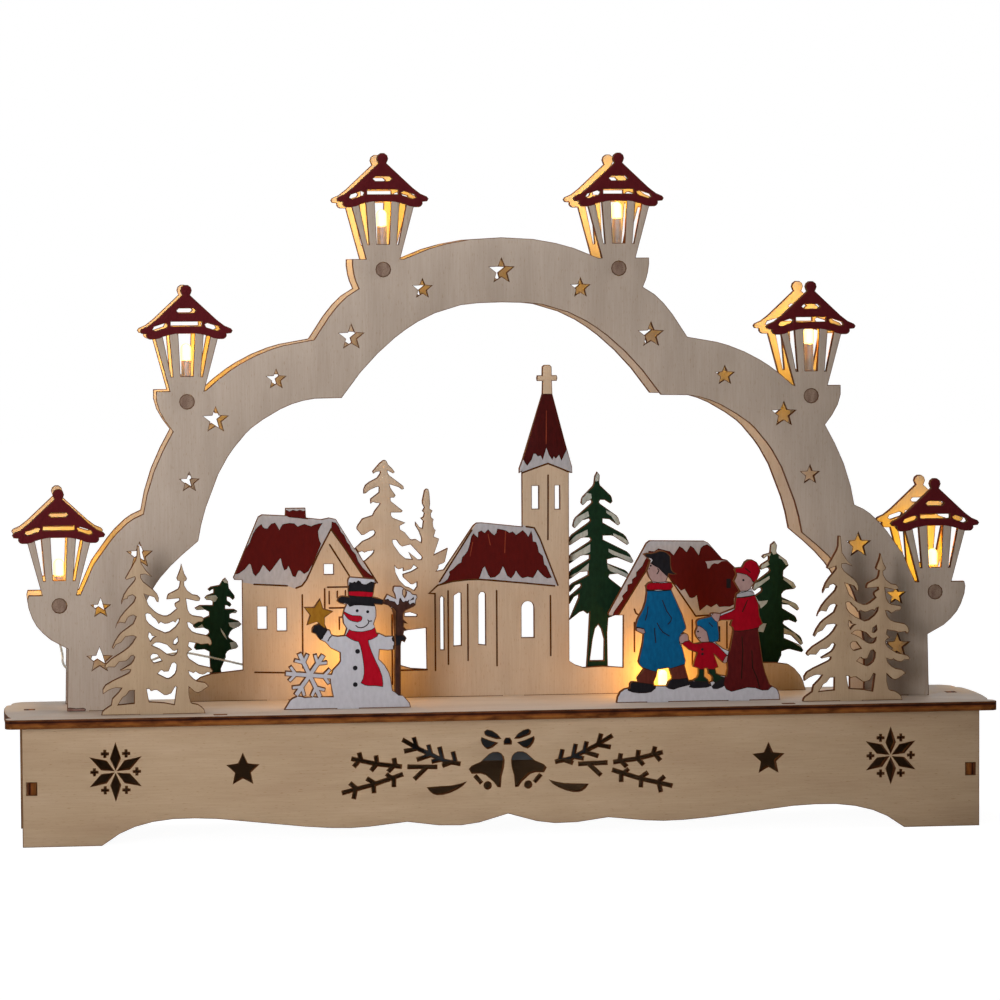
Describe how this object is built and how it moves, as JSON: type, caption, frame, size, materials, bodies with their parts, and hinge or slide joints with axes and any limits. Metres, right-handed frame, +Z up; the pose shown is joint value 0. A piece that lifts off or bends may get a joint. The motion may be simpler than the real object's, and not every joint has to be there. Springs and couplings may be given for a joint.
{
  "type": "light-up holiday arch with a village scene",
  "caption": "Battery lit arch of cut plywood on a hollow base, with lanterns on its band and a village, trees, a snowman and a walking family in and before it.",
  "frame": {"origin": "on the table, in the middle of the footprint below the base", "axes": "+X to the right as seen from the front, +Y away from the viewer towards the back, +Z up"},
  "size_m": [0.4302, 0.074, 0.2947],
  "materials": {
    "birch_front": "matte",
    "birch": "matte",
    "beech_dowel": "matte",
    "painted_green_wood": "matte paint",
    "painted_white_wood": "matte paint",
    "painted_blue_wood": "matte paint",
    "lamp_lens": "clear, lit",
    "lamp_tube": "clear",
    "clear_wire": "clear sleeve over copper",
    "black_plastic": "moulded",
    "cell_jacket": "printed jacket, plain",
    "plated_steel": "nickel plated"
  },
  "bodies": {
    "arch_and_base": {"arch_front_panel": "birch_front", "arch_rear_panel": "birch", "arch_dowel_1": "beech_dowel", "arch_dowel_2": "beech_dowel", "arch_dowel_3": "beech_dowel", "arch_dowel_4": "beech_dowel", "arch_dowel_5": "beech_dowel", "arch_dowel_6": "beech_dowel", "village_panel": "birch", "green_tree_left": "painted_green_wood", "green_tree_center": "painted_green_wood", "green_tree_right": "painted_green_wood", "front_trees_left": "birch_front", "front_trees_right": "birch_front", "snowman_panel": "painted_white_wood", "family_panel": "painted_blue_wood", "base_front_panel": "birch_front", "base_back_panel": "birch", "base_end_panel_left": "birch", "base_end_panel_right": "birch", "base_top_board": "birch_front", "lantern_lamp_1": "lamp_lens", "lantern_lamp_2": "lamp_lens", "lantern_lamp_3": "lamp_lens", "lantern_lamp_4": "lamp_lens", "lantern_lamp_5": "lamp_lens", "lantern_lamp_6": "lamp_lens", "village_lamp_1": "lamp_lens", "village_lamp_2": "lamp_lens", "lantern_lamp_tube_1": "lamp_tube", "lantern_lamp_tube_2": "lamp_tube", "lantern_lamp_tube_3": "lamp_tube", "lantern_lamp_tube_4": "lamp_tube", "lantern_lamp_tube_5": "lamp_tube", "lantern_lamp_tube_6": "lamp_tube", "village_lamp_tube_1": "lamp_tube", "village_lamp_tube_2": "lamp_tube", "light_string_wire": "clear_wire", "string_tail_wire": "clear_wire", "village_wire_1": "clear_wire", "village_wire_2": "clear_wire", "battery_box": "black_plastic", "switch_body": "plated_steel", "battery_1": "cell_jacket", "battery_2": "cell_jacket", "battery_3": "cell_jacket", "battery_spring_1": "plated_steel", "battery_spring_2": "plated_steel", "battery_spring_3": "plated_steel", "contact_plate_link_left": "plated_steel", "contact_plate_end_left": "plated_steel", "contact_plate_end_right": "plated_steel", "contact_plate_link_right": "plated_steel", "box_screw_left": "plated_steel", "box_screw_right": "plated_steel"},
    "lid": {"battery_lid": "black_plastic"},
    "switch": {"switch_knob": "black_plastic"}
  },
  "joints": [
    {"name": "lid_slide", "type": "slide", "parent": "arch_and_base", "child": "lid", "axis": [-1, 0, 0], "range_m": [0, 0.05]},
    {"name": "switch_slide", "type": "slide", "parent": "arch_and_base", "child": "switch", "axis": [0, -1, 0], "range_m": [0, 0.004]}
  ]
}
